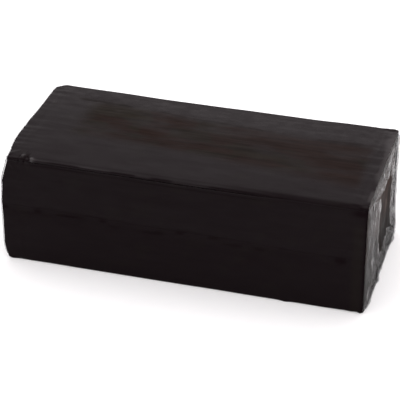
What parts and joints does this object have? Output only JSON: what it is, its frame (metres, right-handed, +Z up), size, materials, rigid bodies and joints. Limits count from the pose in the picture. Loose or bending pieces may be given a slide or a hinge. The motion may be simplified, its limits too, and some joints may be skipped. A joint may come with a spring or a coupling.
{
  "type": "clay bar",
  "caption": "Rectangular bar of dark detailing clay in a tight clear film wrapper, with film flaps folded over both ends that open on their creases.",
  "frame": {"origin": "middle of the face that the bar rests on", "axes": "+X along the bar to its right end, +Y to the back, +Z up"},
  "size_m": [0.097, 0.041, 0.0314],
  "materials": {
    "clay": "matte, very dark brown putty",
    "film": "clear glossy wrapping film"
  },
  "bodies": {
    "wrapped_bar": {"clay_bar": "clay", "film_sleeve": "film", "film_lap": "film", "right_corner_pleats": "film", "left_corner_pleats": "film"},
    "right_front_flap": {"right_front_flap": "film"},
    "right_back_flap": {"right_back_flap": "film"},
    "right_top_flap": {"right_top_flap": "film"},
    "right_bottom_flap": {"right_bottom_flap": "film"},
    "left_front_flap": {"left_front_flap": "film"},
    "left_back_flap": {"left_back_flap": "film"},
    "left_top_flap": {"left_top_flap": "film"},
    "left_bottom_flap": {"left_bottom_flap": "film"}
  },
  "joints": [
    {"name": "right_front_flap_fold", "type": "hinge", "parent": "wrapped_bar", "child": "right_front_flap", "pos_m": [0.0483, -0.0202, 0.0157], "axis": [0, 0, -1], "range_deg": [0, 110]},
    {"name": "right_back_flap_fold", "type": "hinge", "parent": "wrapped_bar", "child": "right_back_flap", "pos_m": [0.0483, 0.0202, 0.0157], "axis": [0, 0, 1], "range_deg": [0, 110]},
    {"name": "right_top_flap_fold", "type": "hinge", "parent": "wrapped_bar", "child": "right_top_flap", "pos_m": [0.0483, 0, 0.0311], "axis": [0, -1, 0], "range_deg": [0, 110]},
    {"name": "right_bottom_flap_fold", "type": "hinge", "parent": "wrapped_bar", "child": "right_bottom_flap", "pos_m": [0.0483, 0, 0.0003], "axis": [0, 1, 0], "range_deg": [0, 75]},
    {"name": "left_front_flap_fold", "type": "hinge", "parent": "wrapped_bar", "child": "left_front_flap", "pos_m": [-0.0483, -0.0202, 0.0157], "axis": [0, 0, 1], "range_deg": [0, 110]},
    {"name": "left_back_flap_fold", "type": "hinge", "parent": "wrapped_bar", "child": "left_back_flap", "pos_m": [-0.0483, 0.0202, 0.0157], "axis": [0, 0, -1], "range_deg": [0, 110]},
    {"name": "left_top_flap_fold", "type": "hinge", "parent": "wrapped_bar", "child": "left_top_flap", "pos_m": [-0.0483, 0, 0.0311], "axis": [0, 1, 0], "range_deg": [0, 110]},
    {"name": "left_bottom_flap_fold", "type": "hinge", "parent": "wrapped_bar", "child": "left_bottom_flap", "pos_m": [-0.0483, 0, 0.0003], "axis": [0, -1, 0], "range_deg": [0, 75]}
  ]
}
